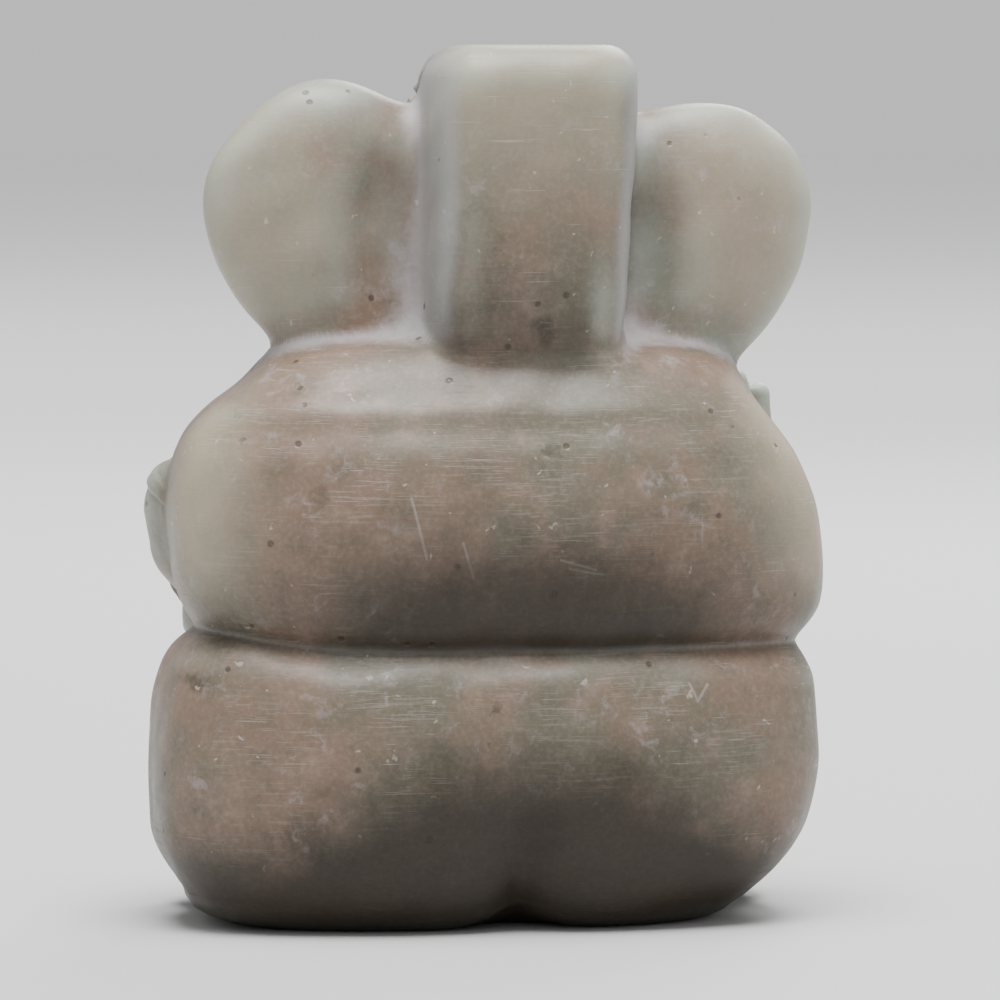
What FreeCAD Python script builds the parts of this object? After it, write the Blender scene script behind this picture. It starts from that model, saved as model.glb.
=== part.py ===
"""A seated Ganesha carved from one small block of soft stone, built as its named carved forms.

Millimetres, +Z up, the idol faces -Y, so +X is the idol's own left. The origin is the middle of the base.
The stone is one block. Each form that the carver blocks out is a solid of its own, and neighbours meet
face to face along the carved grooves: a form is cut by the ones that were blocked out before it.
"""
import FreeCAD
import Part
import math
import os

import Sketcher
from FreeCAD import Placement, Rotation, Vector

# ---------------------------------------------------------------- driving dimensions
# (alias, value, what it is). A level of a loft is its height and how far it reaches from the Z axis.
LEVELS = ("height", "half", "front", "back")
HIPS = {
    "base": (0, 22.8, 9.5, 14.2),
    "foot": (2.6, 26.2, 11.0, 17.2),
    "low": (8, 29.0, 11.8, 19.3),
    "middle": (14, 29.3, 11.9, 19.6),
    "high": (20, 28.7, 11.4, 18.5),
    "waist": (24, 27.0, 10.6, 16.8),
}
TORSO = {
    "waist": (24, 27.0, 10.6, 16.8),
    "rib": (28, 28.2, 11.0, 18.3),
    "chest": (34, 28.7, 11.0, 19.1),
    "shoulder": (41, 27.2, 10.0, 18.3),
    "slope": (46, 23.4, 8.4, 15.4),
    "neck": (49.5, 19.4, 7.0, 11.6),
}
CROWN = {
    "nape": (48.4, 8.4, 4.0, 13.3),
    "middle": (57, 8.6, 5.0, 14.1),
    "brow": (65, 9.0, 8.0, 14.7),
    "high": (71, 9.2, 7.8, 14.5),
    "bevel": (74.4, 8.8, 6.8, 13.8),
    "top": (76, 7.3, 5.0, 11.8),
}

SINGLE_SIZES = [
    ("hips_lean", 0.65, "hips, to the idol's left of the middle"),
    ("torso_lean", -0.3, "torso and belly, likewise"),
    ("head_lean", -1.5, "head, trunk and tusks, likewise"),
    ("crown_lean", -2.9, "crown, likewise"),
    ("hips_corner", 9.2, "plan radius of the hips' corners"),
    ("torso_corner", 7.0, "plan radius of the torso's corners"),
    ("crown_corner", 3.4, "plan radius of the crown's corners"),
    ("head_half", 11.5, "head, half its width"),
    ("head_deep", 11.0, "head, half its depth"),
    ("head_tall", 13.0, "head, half its height"),
    ("head_forward", 3.6, "head centre, in front of the Z axis"),
    ("head_height", 56.0, "head centre, above the base"),
    ("ear_thick", 5.2, "ear, half its thickness"),
    ("ear_back", 1.6, "ear centre, behind the Z axis"),
    ("belly_half", 15.5, "belly, half its width"),
    ("belly_deep", 11.0, "belly, half its depth"),
    ("belly_tall", 14.0, "belly, half its height"),
    ("belly_forward", 7.6, "belly centre, in front of the Z axis"),
    ("belly_height", 27.5, "belly centre, above the base"),
    ("trunk_root", 5.4, "trunk radius at the face"),
    ("trunk_low", 3.7, "trunk radius where the curl starts"),
    ("trunk_middle", 3.2, "trunk radius part way round the curl"),
    ("trunk_middle_share", 0.45, "share of the curl before that middle radius"),
    ("trunk_tip", 2.5, "trunk radius at the tip"),
    ("trunk_top_height", 60.0, "start of the trunk's line, above the base"),
    ("trunk_fall", 23.5, "straight part of the trunk"),
    ("trunk_curl", 7.4, "radius of the trunk's curl"),
    ("trunk_turn", 150.0, "degrees of the trunk's curl"),
    ("trunk_top_forward", 10.2, "start of the trunk's line, in front of the Z axis"),
    ("trunk_slant", 12.0, "degrees that the trunk slants forward"),
    ("tusk_root", 1.7, "tusk radius at the cheek"),
    ("tusk_tip", 0.9, "tusk radius at the tip"),
    ("tusk_long", 8.5, "the whole tusk, on the idol's left"),
    ("tusk_short", 4.6, "the broken tusk, on the idol's right"),
    ("tusk_apart", 7.2, "tusk root, to each side of the head's middle"),
    ("tusk_forward", 10.6, "tusk root, in front of the Z axis"),
    ("tusk_height", 50.6, "tusk root, above the base"),
    ("tusk_splay", 0.22, "tusk, outwards for each unit forward"),
    ("tusk_drop", 0.75, "tusk, down for each unit forward"),
    ("palm_wide", 9.4, "raised hand, across"),
    ("palm_long", 13.0, "raised hand, wrist to fingertips"),
    ("palm_thick", 7.6, "raised hand, through the palm"),
    ("palm_corner", 3.4, "raised hand, outline rounding"),
    ("palm_round", 1.6, "raised hand, edge rounding"),
    ("palm_right", 23.9, "raised hand centre, to the idol's right"),
    ("palm_forward", 12.2, "raised hand centre, in front of the Z axis"),
    ("palm_height", 41.2, "raised hand centre, above the base"),
    ("cup_radius", 5.9, "cupped hand, radius of the bowl"),
    ("cup_left", 19.6, "cupped hand centre, to the idol's left"),
    ("cup_forward", 13.4, "cupped hand centre, in front of the Z axis"),
    ("cup_height", 26.8, "cupped hand centre, above the base"),
    ("cup_rim", 1.6, "cupped hand, rim above the bowl's centre"),
    ("sweet_radius", 4.3, "modak, widest radius"),
    ("sweet_bulb", 3.4, "modak, half the height of its round part"),
    ("sweet_sunk", 1.2, "modak, how far its centre is above the rim of the hand"),
    ("sweet_cone", 3.0, "modak, radius where its point starts"),
    ("sweet_neck", 2.4, "modak, start of its point above the middle of its round part"),
    ("sweet_point", 5.2, "modak, height of its point"),
    ("sweet_tip", 0.5, "modak, radius of its tip"),
]

# An ear is an oval lobe: centre across and up, half width, half height, and degrees that its top leans out.
EARS = {
    "ear_left": (11.4, 59.2, 11.9, 14.7, 42.6),
    "ear_right": (-15.3, 57.7, 11.7, 15.7, 49.8),
}
EAR_WORDS = ("x", "z", "half", "tall", "fan")

# A limb is a tapered rod with round ends: start x, y, z, radius, then end x, y, z, radius.
LIMBS = {
    "arm_right": (-24.0, -4.6, 31.0, 5.2, -23.6, -11.4, 38.0, 4.0),
    "arm_left": (23.9, -5.0, 35.4, 5.3, 20.6, -11.8, 27.8, 4.2),
    "leg_right": (-20.6, -8.6, 7.6, 8.2, 3.5, -12.2, 5.0, 5.6),
    "leg_left": (20.6, -8.6, 7.6, 8.2, -3.5, -10.8, 8.6, 5.2),
}
LIMB_WORDS = ("start_x", "start_y", "start_z", "start_r", "end_x", "end_y", "end_z", "end_r")
FEET = {
    "foot_right": (9.6, -14.2, 3.8, 6.6, 4.6, 4.2),
    "foot_left": (-9.6, -14.2, 3.8, 6.6, 4.6, 4.2),
}
FOOT_WORDS = ("x", "y", "z", "long", "wide", "tall")

document = FreeCAD.newDocument("Ganesha")
sheet = document.addObject("Spreadsheet::Sheet", "Sizes")
sheet_row = 0


def put(alias, value, note):
    """One row of the sheet: the note, then the number under its alias."""
    global sheet_row
    sheet_row += 1
    sheet.set(f"A{sheet_row}", note)
    sheet.set(f"B{sheet_row}", str(value))
    sheet.setAlias(f"B{sheet_row}", alias)


for form, levels in (("hips", HIPS), ("torso", TORSO), ("crown", CROWN)):
    for level, numbers in levels.items():
        for word, number in zip(LEVELS, numbers):
            put(f"{form}_{level}_{word}", number, f"{form}, {level} level, {word}")
for alias, value, note in SINGLE_SIZES:
    put(alias, value, note)
for forms, words in ((EARS, EAR_WORDS), (LIMBS, LIMB_WORDS), (FEET, FOOT_WORDS)):
    for form, numbers in forms.items():
        for word, number in zip(words, numbers):
            put(f"{form}_{word}", number, f"{form}, {word}")
document.recompute()


# ---------------------------------------------------------------- helpers
def bind(item, path, formula):
    """Ties one property of a document object to the sheet. Bare aliases are written with a leading @."""
    item.setExpression(path, formula.replace("@", "Sizes."))


def size(alias):
    """A number of the sheet, where a shape is turned or placed by code."""
    return float(sheet.get(alias))


def plane_of(body, role):
    """One of a body's own origin planes."""
    return next(feature for feature in body.Origin.OriginFeatures if feature.Role == role)


def new_sketch(body, name, role="XY_Plane"):
    sketch = body.newObject("Sketcher::SketchObject", name)
    sketch.AttachmentSupport = (plane_of(body, role), [""])
    sketch.MapMode = "FlatFace"
    return sketch


def reach(sketch, direction, geometry, point, formula, sign):
    """A distance constraint from the sketch's origin to a point, on the side that sign says."""
    origin, there = (-1, 1), (geometry, point)
    ends = (*origin, *there) if sign > 0 else (*there, *origin)
    index = sketch.addConstraint(Sketcher.Constraint("Distance" + direction, *ends, 1.0))
    bind(sketch, f"Constraints[{index}]", formula)


def rounded_rectangle(sketch, left, right, low, high, corner):
    """A rectangle round the sketch's origin with rounded corners. Each argument is a formula on the sheet.

    left and low are distances on the negative side of the origin, right and high on the positive side.
    """
    flat, turn = 4.0, 1.0
    outer = flat + turn
    corners = [(-flat, -flat, 180), (flat, -flat, 270), (flat, flat, 0), (-flat, flat, 90)]
    arcs = [
        Part.ArcOfCircle(
            Part.Circle(Vector(x, y, 0), Vector(0, 0, 1), turn),
            math.radians(start), math.radians(start + 90),
        )
        for x, y, start in corners
    ]
    sides = [
        Part.LineSegment(Vector(-flat, -outer, 0), Vector(flat, -outer, 0)),
        Part.LineSegment(Vector(outer, -flat, 0), Vector(outer, flat, 0)),
        Part.LineSegment(Vector(flat, outer, 0), Vector(-flat, outer, 0)),
        Part.LineSegment(Vector(-outer, flat, 0), Vector(-outer, -flat, 0)),
    ]
    sketch.addGeometry(arcs + sides, False)
    for side in range(4):
        sketch.addConstraint(Sketcher.Constraint("Coincident", side, 2, 4 + side, 1))
        sketch.addConstraint(Sketcher.Constraint("Coincident", 4 + side, 2, (side + 1) % 4, 1))
        first, second = ("Horizontal", "Vertical") if side % 2 == 0 else ("Vertical", "Horizontal")
        sketch.addConstraint(Sketcher.Constraint(first, side, 3, side, 1))
        sketch.addConstraint(Sketcher.Constraint(second, side, 3, side, 2))
        sketch.addConstraint(Sketcher.Constraint("Horizontal" if side % 2 == 0 else "Vertical", 4 + side))
    for arc in (1, 2, 3):
        sketch.addConstraint(Sketcher.Constraint("Equal", 0, arc))
    index = sketch.addConstraint(Sketcher.Constraint("Radius", 0, turn))
    bind(sketch, f"Constraints[{index}]", corner)
    reach(sketch, "X", 5, 1, right, 1)
    reach(sketch, "X", 7, 1, left, -1)
    reach(sketch, "Y", 6, 1, high, 1)
    reach(sketch, "Y", 4, 1, low, -1)


def loft(body, form, levels, lean, corner):
    """A smooth loft through one rounded rectangle for each level of a form."""
    sections = []
    for level in levels:
        cells = f"@{form}_{level}_"
        sketch = new_sketch(body, f"{form}_{level}")
        rounded_rectangle(
            sketch, f"{cells}half - {lean}", f"{cells}half + {lean}", cells + "front", cells + "back", corner
        )
        bind(sketch, "AttachmentOffset.Base.z", cells + "height")
        sections.append(sketch)
    feature = body.newObject("PartDesign::AdditiveLoft", f"{form}_loft")
    feature.Profile = sections[0]
    feature.Sections = [(sketch, [""]) for sketch in sections[1:]]
    body.Tip = feature
    document.recompute()
    return feature


def ellipsoid(name, half_x, half_y, half_z, x, y, z):
    item = document.addObject("Part::Ellipsoid", name)
    for path, formula in (
        ("Radius1", half_z), ("Radius2", half_x), ("Radius3", half_y),
        ("Placement.Base.x", x), ("Placement.Base.y", y), ("Placement.Base.z", z),
    ):
        bind(item, path, formula)
    return item


def carved(label, form, *neighbours):
    """The sub-part that is left of a form once its neighbours, blocked out before it, are taken away."""
    if len(neighbours) == 1:
        tool = neighbours[0]
    else:
        tool = document.addObject("Part::MultiFuse", f"around_{label}")
        tool.Shapes = list(neighbours)
        tool.Refine = False
    item = document.addObject("Part::Cut", label)
    item.Base = form
    item.Tool = tool
    item.Refine = False
    item.Label = label
    return item


def tapered_rod(label):
    """A limb: a rod with two round ends of different radii, turned about its own axis, from start to end."""
    start = Vector(*(size(f"{label}_start_{axis}") for axis in "xyz"))
    end = Vector(*(size(f"{label}_end_{axis}") for axis in "xyz"))
    along = end - start
    ball_a = document.addObject("Part::Sphere", f"{label}_start_ball")
    ball_b = document.addObject("Part::Sphere", f"{label}_end_ball")
    rod = document.addObject("Part::Cone", f"{label}_rod")
    bind(ball_a, "Radius", f"@{label}_start_r")
    bind(ball_b, "Radius", f"@{label}_end_r")
    # the cone touches both balls where their common tangent does
    sine = (size(f"{label}_start_r") - size(f"{label}_end_r")) / along.Length
    cosine = math.sqrt(1 - sine * sine)
    rod.Radius1 = size(f"{label}_start_r") * cosine
    rod.Radius2 = size(f"{label}_end_r") * cosine
    rod.Height = along.Length - (size(f"{label}_start_r") - size(f"{label}_end_r")) * sine
    ball_a.Placement.Base = start
    ball_b.Placement.Base = end
    turn = Rotation(Vector(0, 0, 1), along)
    rod.Placement = Placement(start + along.normalize() * size(f"{label}_start_r") * sine, turn)
    item = document.addObject("Part::MultiFuse", f"{label}_form")
    item.Shapes = [ball_a, rod, ball_b]
    item.Refine = False
    return item


def block(name, low_z, formula_height):
    """A wide box that takes away everything above or below a level."""
    item = document.addObject("Part::Box", name)
    for path, formula in (
        ("Length", "4 * @hips_middle_half"), ("Width", "4 * @hips_middle_half"),
        ("Height", formula_height),
        ("Placement.Base.x", "-2 * @hips_middle_half"), ("Placement.Base.y", "-2 * @hips_middle_half"),
        ("Placement.Base.z", low_z),
    ):
        bind(item, path, formula)
    return item


def write_parts(sub_parts):
    """Checks every object of the document and every sub-part, then writes one STEP file for each."""
    document.recompute()
    faults = [item.Name for item in document.Objects if {"Invalid", "Error"} & set(item.State)]
    if faults:
        raise SystemExit(f"these objects failed: {faults}")
    os.makedirs("parts", exist_ok=True)
    for item in sub_parts:
        shape = item.Shape
        if shape.isNull() or not shape.isValid() or len(shape.Solids) != 1:
            raise SystemExit(f"{item.Label} is not one valid solid: {len(shape.Solids)} solids")
    for item in sub_parts:
        item.Shape.exportStep(f"parts/{item.Label}.step")
        box = item.Shape.optimalBoundingBox()
        print(
            f"{item.Label:12s} {item.Shape.Volume / 1000:7.2f} cm3  x {box.XMin:6.2f} {box.XMax:6.2f}"
            f"  y {box.YMin:6.2f} {box.YMax:6.2f}  z {box.ZMin:6.2f} {box.ZMax:6.2f}"
        )


# ---------------------------------------------------------------- the big masses
hips = document.addObject("PartDesign::Body", "hips")
loft(hips, "hips", HIPS, "@hips_lean", "@hips_corner")

torso = document.addObject("PartDesign::Body", "torso")
loft(torso, "torso", TORSO, "@torso_lean", "@torso_corner")

head_form = ellipsoid(
    "head_form", "@head_half", "@head_deep", "@head_tall",
    "@head_lean", "-@head_forward", "@head_height",
)
head = carved("head", head_form, torso)

crown_form = document.addObject("PartDesign::Body", "crown_form")
loft(crown_form, "crown", CROWN, "@crown_lean", "@crown_corner")
crown = carved("crown", crown_form, head_form, torso)


# ---------------------------------------------------------------- ears
def ear(label, way):
    """A thick lobe beside the head. way is 1 on the idol's left and -1 on its right."""
    cells = f"@{label}_"
    form = ellipsoid(
        f"{label}_form", cells + "half", "@ear_thick", cells + "tall",
        cells + "x", "@ear_back", cells + "z",
    )
    bind(form, "Placement.Rotation.Pitch", f"{way} * {cells}fan")
    return carved(label, form, head_form, crown_form, torso)


ear_left = ear("ear_left", 1)
ear_right = ear("ear_right", -1)

# ---------------------------------------------------------------- belly, legs and feet
belly_form = ellipsoid(
    "belly_form", "@belly_half", "@belly_deep", "@belly_tall",
    "@torso_lean", "-@belly_forward", "@belly_height",
)
belly = carved("belly", belly_form, hips, torso)

ground = block("ground", "-@hips_low_height", "@hips_low_height")
leg_right_form = tapered_rod("leg_right")
leg_left_form = tapered_rod("leg_left")
leg_right = carved("leg_right", leg_right_form, hips, torso, belly_form, ground)
leg_left = carved("leg_left", leg_left_form, hips, torso, belly_form, ground, leg_right_form)


def foot(side, *neighbours):
    cells = f"@foot_{side}_"
    form = ellipsoid(
        f"foot_{side}_form", cells + "long", cells + "wide", cells + "tall",
        cells + "x", cells + "y", cells + "z",
    )
    return carved(f"foot_{side}", form, hips, belly_form, ground, *neighbours)


foot_right = foot("right", leg_right_form, leg_left_form)
foot_left = foot("left", leg_right_form, leg_left_form)


# ---------------------------------------------------------------- trunk and tusks
def trunk_pipe():
    """The trunk: one tapered pipe along a straight fall and a curl, in a plane that slants forward."""
    body = document.addObject("PartDesign::Body", "trunk_form")
    path = new_sketch(body, "trunk_path", "XZ_Plane")
    fall, curl, turn = size("trunk_fall"), size("trunk_curl"), size("trunk_turn")
    half_turn = 180.0
    arc = Part.ArcOfCircle(
        Part.Circle(Vector(curl, -fall, 0), Vector(0, 0, 1), curl), math.radians(half_turn),
        math.radians(half_turn + turn)
    )
    path.addGeometry([Part.LineSegment(Vector(0, 0, 0), Vector(0, -fall, 0)), arc], False)
    path.addConstraint(Sketcher.Constraint("Coincident", -1, 1, 0, 1))
    path.addConstraint(Sketcher.Constraint("Vertical", 0))
    path.addConstraint(Sketcher.Constraint("Tangent", 0, 2, 1, 1))
    for kind, geometry, formula in (
        ("Distance", 0, "@trunk_fall"), ("Radius", 1, "@trunk_curl"), ("Angle", 1, "@trunk_turn * 1deg"),
    ):
        index = path.addConstraint(Sketcher.Constraint(kind, geometry, 1.0))
        bind(path, f"Constraints[{index}]", formula)
    place = Placement(
        Vector(size("head_lean"), size("trunk_top_height"), size("trunk_top_forward")),
        Rotation(Vector(1, 0, 0), -size("trunk_slant")),
    )
    path.AttachmentOffset = place
    end_angle = math.radians(half_turn + turn)
    end = Vector(curl + curl * math.cos(end_angle), -fall + curl * math.sin(end_angle), 0)
    rings = []
    middle_turn = half_turn + turn * size("trunk_middle_share")
    middle_angle = math.radians(middle_turn)
    middle = Vector(curl + curl * math.cos(middle_angle), -fall + curl * math.sin(middle_angle), 0)
    stations = (
        ("top", Vector(0, 0, 0), half_turn, "@trunk_root"),
        ("bend", Vector(0, -fall, 0), half_turn, "@trunk_low"),
        ("curl", middle, middle_turn, "@trunk_middle"),
        ("tip", end, half_turn + turn, "@trunk_tip"),
    )
    for name, point, angle, radius in stations:
        ring = new_sketch(body, f"trunk_{name}", "XZ_Plane")
        across = Rotation(Vector(0, 0, 1), angle) * Rotation(Vector(1, 0, 0), 90)
        ring.AttachmentOffset = place * Placement(point, across)
        ring.addGeometry(Part.Circle(Vector(0, 0, 0), Vector(0, 0, 1), 1.0), False)
        ring.addConstraint(Sketcher.Constraint("Coincident", 0, 3, -1, 1))
        index = ring.addConstraint(Sketcher.Constraint("Radius", 0, 1.0))
        bind(ring, f"Constraints[{index}]", radius)
        rings.append(ring)
    document.recompute()
    pipe = body.newObject("PartDesign::AdditivePipe", "trunk_pipe")
    pipe.Profile = rings[0]
    pipe.Spine = (path, ["Edge1", "Edge2"])
    pipe.Transformation = "Multisection"
    pipe.Sections = [(ring, [""]) for ring in rings[1:]]
    body.Tip = pipe
    document.recompute()
    return body


trunk_form = trunk_pipe()
trunk = carved("trunk", trunk_form, head_form, torso, belly_form)


def tusk(side, way, length):
    """A short cone that leaves the cheek beside the trunk and points down and forward."""
    form = document.addObject("Part::Cone", f"tusk_{side}_form")
    for path, formula in (
        ("Radius1", "@tusk_root"), ("Radius2", "@tusk_tip"), ("Height", length),
        ("Placement.Base.x", f"@head_lean + {way} * @tusk_apart"),
        ("Placement.Base.y", "-@tusk_forward"), ("Placement.Base.z", "@tusk_height"),
    ):
        bind(form, path, formula)
    outwards = Vector(way * size("tusk_splay"), -1.0, -size("tusk_drop"))
    form.Placement.Rotation = Rotation(Vector(0, 0, 1), outwards)
    return carved(f"tusk_{side}", form, head_form, torso, trunk_form)


tusk_left = tusk("left", 1, "@tusk_long")
tusk_right = tusk("right", -1, "@tusk_short")

# ---------------------------------------------------------------- arms, hands and the sweet
arm_right_form = tapered_rod("arm_right")
arm_left_form = tapered_rod("arm_left")
arm_right = carved("arm_right", arm_right_form, torso, hips, belly_form, leg_right_form)
arm_left = carved("arm_left", arm_left_form, torso, hips, belly_form, leg_left_form)

palm_form = document.addObject("PartDesign::Body", "palm_form")
outline = new_sketch(palm_form, "palm_outline", "XZ_Plane")
rounded_rectangle(
    outline, "@palm_wide / 2", "@palm_wide / 2", "@palm_long / 2", "@palm_long / 2", "@palm_corner"
)
plate = palm_form.newObject("PartDesign::Pad", "palm_plate")
plate.Profile = outline
bind(plate, "Length", "@palm_thick")
plate.Midplane = True
document.recompute()
flat_sides = 0.99
broad = [
    f"Face{n}" for n, face in enumerate(plate.Shape.Faces, 1) if abs(face.normalAt(0, 0).y) > flat_sides
]
edges = palm_form.newObject("PartDesign::Fillet", "palm_edges")
edges.Base = (plate, broad)
bind(edges, "Radius", "@palm_round")
palm_form.Tip = edges
bind(palm_form, "Placement.Base.x", "-@palm_right")
bind(palm_form, "Placement.Base.y", "-@palm_forward")
bind(palm_form, "Placement.Base.z", "@palm_height")
hand_right = carved("hand_right", palm_form, torso, arm_right_form, hips)


ball = ellipsoid(
    "cup_ball", "@cup_radius", "@cup_radius", "@cup_radius",
    "@cup_left", "-@cup_forward", "@cup_height",
)
above_cup = block("above_cup", "@cup_height + @cup_rim", "@cup_radius")
cup_form = carved("cup_form", ball, above_cup)
hand_left = carved("hand_left", cup_form, torso, hips, belly_form, arm_left_form, leg_left_form)

bulb = ellipsoid(
    "sweet_bulb_form", "@sweet_radius", "@sweet_radius", "@sweet_bulb", "@cup_left", "-@cup_forward",
    "@cup_height + @cup_rim + @sweet_sunk",
)
point = document.addObject("Part::Cone", "sweet_point_form")
for path, formula in (
    ("Radius1", "@sweet_cone"), ("Radius2", "@sweet_tip"), ("Height", "@sweet_point"),
    ("Placement.Base.x", "@cup_left"), ("Placement.Base.y", "-@cup_forward"),
    ("Placement.Base.z", "@cup_height + @cup_rim + @sweet_sunk + @sweet_neck"),
):
    bind(point, path, formula)
sweet_form = document.addObject("Part::MultiFuse", "sweet_form")
sweet_form.Shapes = [bulb, point]
sweet_form.Refine = False
modak = carved("modak", sweet_form, cup_form, torso, arm_left_form, trunk_form, belly_form)

write_parts([
    hips, torso, belly, head, crown, ear_left, ear_right, trunk, tusk_left, tusk_right, arm_left, arm_right,
    hand_left, hand_right, modak, leg_left, leg_right, foot_left, foot_right,
])
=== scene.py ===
"""A seated Ganesha carved from one small block of soft, slightly translucent stone.

Every form of the carving is a distance field in millimetres, negative inside the stone. The fields run into
one another with a soft minimum, so the forms read as one block. Each CAD node gets the stretch of that common
skin that lies nearest to its own form, and past the seam its skin slips under its neighbour's.
The idol faces -Y, +Z is up, and +X is the idol's own left.
"""
import functools
import math
from concurrent.futures import ThreadPoolExecutor

import bpy
import numpy as np
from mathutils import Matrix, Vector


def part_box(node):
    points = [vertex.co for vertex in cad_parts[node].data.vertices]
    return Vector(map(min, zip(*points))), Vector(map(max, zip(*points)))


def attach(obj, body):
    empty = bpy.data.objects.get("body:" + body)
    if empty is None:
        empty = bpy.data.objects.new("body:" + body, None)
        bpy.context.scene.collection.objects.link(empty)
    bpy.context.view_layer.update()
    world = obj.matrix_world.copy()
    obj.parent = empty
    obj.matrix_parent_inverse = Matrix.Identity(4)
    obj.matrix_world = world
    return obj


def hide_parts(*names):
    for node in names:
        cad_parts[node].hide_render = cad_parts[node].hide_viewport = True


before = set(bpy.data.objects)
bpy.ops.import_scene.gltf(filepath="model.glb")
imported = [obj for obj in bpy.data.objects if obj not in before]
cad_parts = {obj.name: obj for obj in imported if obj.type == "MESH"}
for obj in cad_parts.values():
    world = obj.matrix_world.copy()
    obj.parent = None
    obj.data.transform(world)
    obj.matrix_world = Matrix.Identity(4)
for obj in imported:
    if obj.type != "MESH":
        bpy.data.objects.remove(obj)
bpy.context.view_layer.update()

MM = 0.001
ROOT = "root"
FINE = 1.0

# How the forms run together and where one form's skin slips under the next, in millimetres.
BLEND_LOW = 0.65
BLEND_HIGH = 0.95
BLEND_FROM = 26.0
BLEND_TO = 46.0
SEAM = 0.4
DIVE = 0.5
MARGIN = 1.3


def span(node):
    """The lowest and the highest corner of a CAD node, in millimetres."""
    low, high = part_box(node)
    return np.array(low) / MM, np.array(high) / MM


def ramp(value, start, end):
    """0 before start, 1 past end and an even S between: 3 t squared less 2 t cubed."""
    t = np.clip((value - start) / (end - start), 0.0, 1.0)
    return t * t * (3.0 - 2.0 * t)


# ------------------------------------------------------------------ shapes: distance fields
def soft_min(fields, blend):
    """The least of several distances with rounded creases: -blend * log of the sum of exp(-d / blend)."""
    least = functools.reduce(np.minimum, fields)
    total = sum(np.exp((least - field) / blend) for field in fields)
    return least - blend * np.log(total)


def soft_max(one, other, blend):
    """The greater of two distances, its crease rounded by a parabola that is blend wide."""
    near = np.maximum(blend - np.abs(one - other), 0.0) / blend
    return np.maximum(one, other) + near * near * blend / 4.0


def pebble(centre, half, power=2.2):
    """A rounded block: the power mean of x/a, y/b and z/c, less 1, over the slope of that mean."""
    centre, half = np.array(centre, np.float32), np.array(half, np.float32)

    def distance(p):
        q = np.maximum(np.abs(p - centre) / half, 1e-5)
        mean = (q ** power).sum(1) ** (1.0 / power)
        slope = np.sqrt(((q ** (power - 1.0) / half) ** 2).sum(1)) * mean ** (1.0 - power)
        return (mean - 1.0) / slope

    return distance


def level_line(heights, values):
    """A smooth line through one value per height: Hermite cubics with centred slopes, in 400 even steps."""
    heights, values = np.array(heights, float), np.array(values, float)
    slopes = np.gradient(values, heights)
    table = np.linspace(heights[0], heights[-1], 400)
    index = np.clip(np.searchsorted(heights, table) - 1, 0, len(heights) - 2)
    gap = heights[index + 1] - heights[index]
    t = (table - heights[index]) / gap
    line = (
        (1 + 2 * t) * (1 - t) ** 2 * values[index] + t * (1 - t) ** 2 * gap * slopes[index]
        + t ** 2 * (3 - 2 * t) * values[index + 1] + t ** 2 * (t - 1) * gap * slopes[index + 1]
    )
    return lambda z: np.interp(z, table, line).astype(np.float32)


def stack(levels, powers, bottom, bottom_round, top, top_round):
    """Rounded sections on a spine, cut off flat below and above and rounded there.

    A level is its height, half width, reach forward, reach back and lean to the left. A section is where the
    power mean of x/half and y/reach is 1, with one power in front and another behind. The end planes meet
    the sides in a quarter circle.
    """
    rows = np.array(levels, float).T
    half, front, back, lean = (level_line(rows[0], row) for row in rows[1:])

    def distance(p):
        z = p[:, 2]
        wide = half(z)
        ahead, behind = front(z), back(z)
        deep = (ahead + behind) / 2
        across = np.maximum(np.abs(p[:, 0] - lean(z)) / wide, 1e-5)
        along = (p[:, 1] - (behind - ahead) / 2) / deep
        power = np.where(along < 0, powers[0], powers[1]).astype(np.float32)
        along = np.maximum(np.abs(along), 1e-5)
        mean = (across ** power + along ** power) ** (1.0 / power)
        slope = np.sqrt((across ** (power - 1) / wide) ** 2 + (along ** (power - 1) / deep) ** 2)
        side = (mean - 1.0) / (slope * mean ** (1.0 - power))
        below = rounded_corner(side, bottom - z, bottom_round)
        return rounded_corner(below, z - top, top_round)

    return distance


def rounded_corner(one, other, radius):
    """Where two half spaces overlap, with a quarter circle of that radius along their edge."""
    a, b = one + radius, other + radius
    return np.hypot(np.maximum(a, 0), np.maximum(b, 0)) + np.minimum(np.maximum(a, b), 0) - radius


def rod(points, radii):
    """A tube along a line of points: the distance to its nearest stretch, less the radius there."""
    points, radii = np.array(points, np.float32), np.array(radii, np.float32)

    def distance(p):
        best = np.full(len(p), 1e9, np.float32)
        for start, end, thick, thin in zip(points[:-1], points[1:], radii[:-1], radii[1:]):
            run = end - start
            share = np.clip((p - start) @ run / (run @ run), 0.0, 1.0)
            off = p - start - share[:, None] * run
            best = np.minimum(best, np.sqrt((off * off).sum(1)) - thick - share * (thin - thick))
        return best

    return distance


def mixed(fields, blend):
    """Several shapes run into one form."""
    return lambda p: soft_min([field(p) for field in fields], blend)


def hollowed(body, scoops, blend):
    """A form with rounded scoops taken out of it."""

    def distance(p):
        left = body(p)
        for scoop in scoops:
            left = soft_max(left, -scoop(p), blend)
        return left

    return distance


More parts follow.
